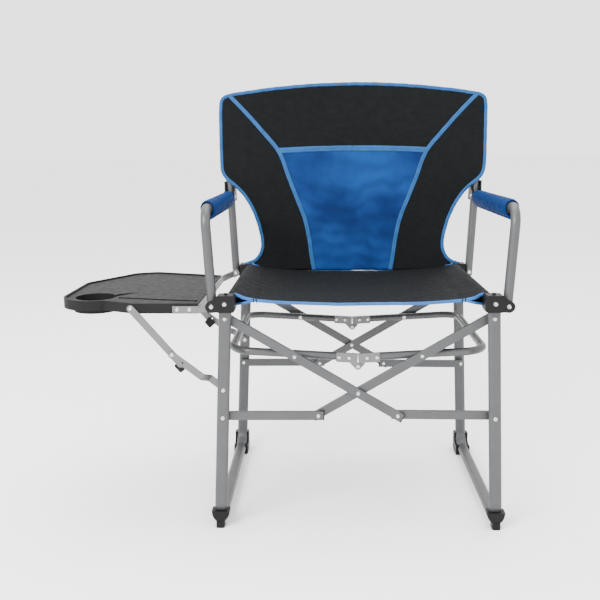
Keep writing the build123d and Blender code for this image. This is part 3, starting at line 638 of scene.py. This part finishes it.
def build_seat():
    full = [(-x, z) for x, z in SEAT_PROFILE] + [(x, z) for x, z in reversed(SEAT_PROFILE[:-1])]
    rows = [4, 8, 17, 40, 80, 130, 180, 215, 250, 300, 350, 390, 413, 420, 424]
    points = []
    for y in rows:
        for x, z in full:
            blend = smooth_step((abs(x) - 222) / 18)
            near = y * (1 - blend) + max(17.5, min(412.5, y)) * blend
            points.append(at(x, near, z - seat_sag(x, y) + 0.9))
    return thicken(solid("seat_cloth", points, grid_faces(len(rows), len(full)), CLOTH), 0.0013, 0.0, 1)


seat = build_seat()


def seat_top(x, y, lift=0.0):
    keys = sorted((a, z) for a, z in SEAT_PROFILE[9:])
    return at(x, y, curve_through(keys, abs(x)) - seat_sag(x, y) + 0.9 + lift)


SLEEVE_UNDER = [(198, 469.0), (206, 467.8), (222, 463.8), (240, 458.9), (250, 457.4)]


def recess(x):
    """How far the cloth's front and rear edges step in where they meet the corner brackets."""
    return 12.5 * smooth_step((x - 222) / 18)


seat_trims = []
for row, y, forward in (("front", 5.0, -1), ("rear", 425.0, 1)):
    for side, sign in SIDES.items():
        path = []
        for k in range(41):
            x = 243 * k / 40
            path.append(seat_top(sign * x, y - forward * recess(x), -1.6))
        under = []
        for k in range(15):
            x = 200 + 46 * k / 14
            under.append(at(sign * x, y - forward * recess(x), along(SLEEVE_UNDER, x) + 0.4))
        for kind, line, width in (("edge", path, 0.0064), ("sleeve_trim", under, 0.0052)):
            seat_trims.append(
                ribbon(
                    f"seat_{kind}_{row}_{side}", line, lambda p, f=forward: Vector((0, f, 0.10)), width,
                    0.0044, PIPING, 0.0004, 20.0 + sign,
                )
            )
        # Two dark stitches hold the sleeve shut where its layers part
        for k, x in enumerate((198.5, 204.0)):
            tack = [seat_top(sign * (x + 0.2 * j), y + forward * 2.6, -6.4 + 1.5 * j) for j in range(7)]
            seat_trims.append(
                ribbon(
                    f"seat_tack_{row}_{k + 1}_{side}", tack, lambda p, f=forward: Vector((0, f, 0.0)),
                    0.0017, 0.0012, THREAD,
                )
            )
for side, sign in SIDES.items():
    for k, x in enumerate((198.0, 204.0)):
        path = [seat_top(sign * (x + 10 * smooth_step(y / 430)), y, 0.75) for y in range(10, 422, 6)]
        name = f"seat_stitching_{side}_{k + 1}"
        seat_trims.append(stitches(name, path, lambda p: Vector((0, 0, 1)), 0.0042, 0.0011, THREAD))

# ---------------------------------------------------------------- arm pads
PAD_SPAN = (40.0, 394.0)
FOAM_PROFILE = (
    (42.5, 9.7), (42.5, 11.5), (44.5, 13.2), (60.0, 13.4), (374.0, 13.4), (389.5, 13.2), (391.5, 11.5),
    (391.5, 9.7),
)


def pad_radius(angle, y, sign):
    """Radius of the pad's cloth round its tube; angle 0 is up, and it hangs to a stitched flap below."""
    base = 15.2
    droop = max(0.0, -cos(angle))
    side = abs(sin(angle))
    r = base + 7.2 * droop**2.2 - 0.9 * side * droop
    fold = noise.noise(Vector((y / 34, angle * 1.4, 3.0 + sign))) * 0.8
    fold += noise.noise(Vector((y / 11, angle * 2.2, 8.0 + sign))) * 0.35
    return r + fold * (0.4 + droop)


pads = []
for side, sign in SIDES.items():
    points = []
    steps = 72
    around = 40
    for i in range(steps + 1):
        y = PAD_SPAN[0] + (PAD_SPAN[1] - PAD_SPAN[0]) * i / steps
        end = min(i, steps - i)
        tuck = 1.0 - 0.10 * (1 - smooth_step(end / 3))
        for j in range(around):
            angle = 2 * pi * j / around
            r = pad_radius(angle, y, sign) * tuck
            points.append(on_arm(sign, y, ARM_RISE + r * cos(angle), r * sin(angle)))
    cover = solid(f"arm_pad_cover_{side}", points, grid_faces(steps + 1, around, closed=True), PAD)
    pads.append(thicken(cover, 0.0018, -1.0, 1))
    points = []
    for y, r in FOAM_PROFILE:
        for j in range(32):
            angle = 2 * pi * j / 32
            hang = 1 + 0.16 * max(0.0, -cos(angle)) * (r > 10)
            points.append(on_arm(sign, y, ARM_RISE + r * hang * cos(angle), r * sin(angle)))
    pads.append(solid(f"arm_pad_foam_{side}", points, grid_faces(8, 32, closed=True), FOAM))
    points = []
    cols = 90
    for i in range(cols + 1):
        y = PAD_SPAN[0] + 3 + (PAD_SPAN[1] - PAD_SPAN[0] - 6) * i / cols
        depth = 25.4 + 1.1 * noise.noise(Vector((y / 9, 2.0 + sign, 0.0)))
        swing = 1.6 * noise.noise(Vector((y / 26, 6.0 + sign, 0.0)))
        for r, shift in ((20.5, 0.0), (22.5, 0.3 * swing), (depth - 0.6, swing)):
            points.append(on_arm(sign, y, ARM_RISE - r, shift - sign * 1.0))
    flap = solid(f"arm_pad_flap_{side}", points, grid_faces(cols + 1, 3), PAD)
    pads.append(thicken(flap, 0.0016, 0.0))

# ---------------------------------------------------------------- what moves with what
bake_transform(back)
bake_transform(seat)
for piece in bindings:
    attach(piece, "back_left" if piece.name.endswith("left") else "back_right")
for piece in casings:
    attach(piece, "back_left" if piece.name.endswith("left") else "back_right")
for piece in seat_trims:
    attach(piece, "seat_left" if "left" in piece.name else "seat_right")
for piece in pads:
    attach(piece, "left_upper" if piece.name.endswith("left") else "right_upper")

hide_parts("back_cloth_left", "back_cloth_right")
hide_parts("seat_cloth_left", "seat_cloth_right")
for piece in pads:
    if "cover" in piece.name:
        side = "left" if piece.name.endswith("left") else "right"
        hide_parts(f"{side}_arm_pad")

# ---------------------------------------------------------------- finishes of the CAD nodes
SLOT_FINISH = {
    "grey_steel": GREY, "edge_steel": PALE, "bright_rivet": RIVET, "black_plastic": BLACK,
    "tray_plastic": TRAY, "pad_cloth": PAD, "seat_cloth": CLOTH, "back_cloth": CLOTH,
}
PALE_NODES = ("table_upper_links", "table_lower_links", "table_front_strap")
slots = {part["node"]: part["material_slot"] for part in frame["record"]["subparts"]}
for name, node in frame["nodes"].items():
    finish = SLOT_FINISH[slots[name]]
    if name in PALE_NODES or name.endswith("brace_hinges"):
        finish = PALE
    node.data.materials.clear()
    node.data.materials.append(finish)

# ---------------------------------------------------------------- floor, light and camera
floor = solid(
    "floor", [Vector((x, y, -0.0002)) for x, y in ((-60, -60), (60, -60), (60, 60), (-60, 60))],
    [(0, 1, 2, 3)], Shader("floor_paint", (0.95, 0.95, 0.95), 0.9).mat, smooth=False,
)

SKY_STRENGTH = 2.6
# Camera: its place in the chair's millimetres, its turns in radians, and its lens in sensor widths
CAMERA_PLACE = (-64.05, -1520.6, 758.96)
CAMERA_YAW = 0.0329
CAMERA_PITCH = 0.1872
CAMERA_ROLL = -0.0069
SENSOR_WIDTH = 36.0
LENS_PER_WIDTH = 799.6 / 600.0

world = bpy.data.worlds.new("studio")
world.use_nodes = True
world.node_tree.nodes["Background"].inputs["Color"].default_value = (1.0, 1.0, 1.0, 1)
world.node_tree.nodes["Background"].inputs["Strength"].default_value = SKY_STRENGTH
bpy.context.scene.world = world


def area_light(name, place, target, size, power):
    data = bpy.data.lights.new(name, "AREA")
    data.shape = "SQUARE"
    data.size = size
    data.energy = power
    made = bpy.data.objects.new(name, data)
    made.location = place
    made.rotation_euler = (Vector(target) - Vector(place)).to_track_quat("-Z", "Y").to_euler()
    bpy.context.scene.collection.objects.link(made)


area_light("key", (-1.8, -2.5, 2.4), (0, 0, 0.5), 1.6, 215)
area_light("fill", (2.4, -1.8, 1.4), (0, 0, 0.5), 2.0, 15)
area_light("top", (0.2, 0.4, 3.0), (0, 0, 0.4), 2.5, 90)

yaw = CAMERA_YAW
pitch = CAMERA_PITCH
roll = CAMERA_ROLL
forward = Vector((-sin(yaw) * cos(pitch), cos(yaw) * cos(pitch), -sin(pitch)))
level = Vector((cos(yaw), sin(yaw), 0))
upward = level.cross(forward)
right = level * cos(roll) + upward * sin(roll)
above = upward * cos(roll) - level * sin(roll)
data = bpy.data.cameras.new("camera")
data.sensor_width = SENSOR_WIDTH
data.lens = LENS_PER_WIDTH * SENSOR_WIDTH
camera = bpy.data.objects.new("camera", data)
turn = Matrix((right, above, -forward)).transposed().to_4x4()
camera.matrix_world = Matrix.Translation(at(*CAMERA_PLACE)) @ turn
bpy.context.scene.collection.objects.link(camera)
bpy.context.scene.camera = camera
